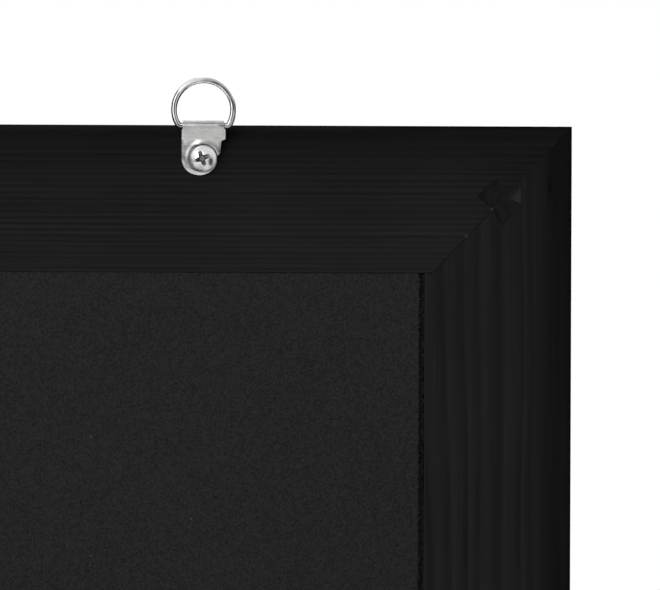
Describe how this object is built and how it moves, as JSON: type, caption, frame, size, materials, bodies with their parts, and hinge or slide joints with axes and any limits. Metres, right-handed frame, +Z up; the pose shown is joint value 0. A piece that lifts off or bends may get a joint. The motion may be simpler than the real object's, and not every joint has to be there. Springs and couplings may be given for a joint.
{
  "type": "wall chalkboard",
  "caption": "Black wood-framed wall chalkboard with mitred, dovetail-keyed corners and hinged hanging rings on folded straps at its top edge.",
  "frame": {"origin": "middle of the bottom rail's flat back face, which rests against the wall", "axes": "+Z up along the board's height, +Y out of the back towards the wall, +X to the right seen from the writing side, which faces -Y"},
  "size_m": [0.6, 0.0189, 0.8132],
  "materials": {
    "frame_lacquer": "black stain and thin satin lacquer over open softwood grain",
    "key_wood": "black stained hardwood end grain, matte",
    "chalk_coating": "fine-grained matte chalk coating",
    "fibreboard": "raw brown fibreboard",
    "backing_paper": "black speckled backing paper, matte",
    "bond_tape": "thin foam bonding tape",
    "strap_steel": "nickel-plated pressed steel, satin",
    "ring_steel": "nickel-plated bent wire, bright",
    "screw_steel": "zinc-plated steel, bright"
  },
  "bodies": {
    "board": {"top_rail": "frame_lacquer", "bottom_rail": "frame_lacquer", "left_rail": "frame_lacquer", "right_rail": "frame_lacquer", "corner_key_top_left": "key_wood", "corner_key_top_right": "key_wood", "corner_key_bottom_left": "key_wood", "corner_key_bottom_right": "key_wood", "chalk_face": "chalk_coating", "panel_core": "fibreboard", "back_face": "backing_paper", "bond_strip_top": "bond_tape", "bond_strip_bottom": "bond_tape", "bond_strip_left": "bond_tape", "bond_strip_right": "bond_tape", "hanger_strap_left": "strap_steel", "hanger_strap_right": "strap_steel", "hanger_screw_left": "screw_steel", "hanger_screw_right": "screw_steel"},
    "ring_left": {"hanger_ring_left": "ring_steel"},
    "ring_right": {"hanger_ring_right": "ring_steel"}
  },
  "joints": [
    {"name": "ring_left_swing", "type": "hinge", "parent": "board", "child": "ring_left", "pos_m": [-0.2, 0.00075, 0.77472], "axis": [1, 0, 0], "range_deg": [-167, 80]},
    {"name": "ring_right_swing", "type": "hinge", "parent": "board", "child": "ring_right", "pos_m": [0.2, 0.00075, 0.77472], "axis": [1, 0, 0], "range_deg": [-167, 80]}
  ]
}
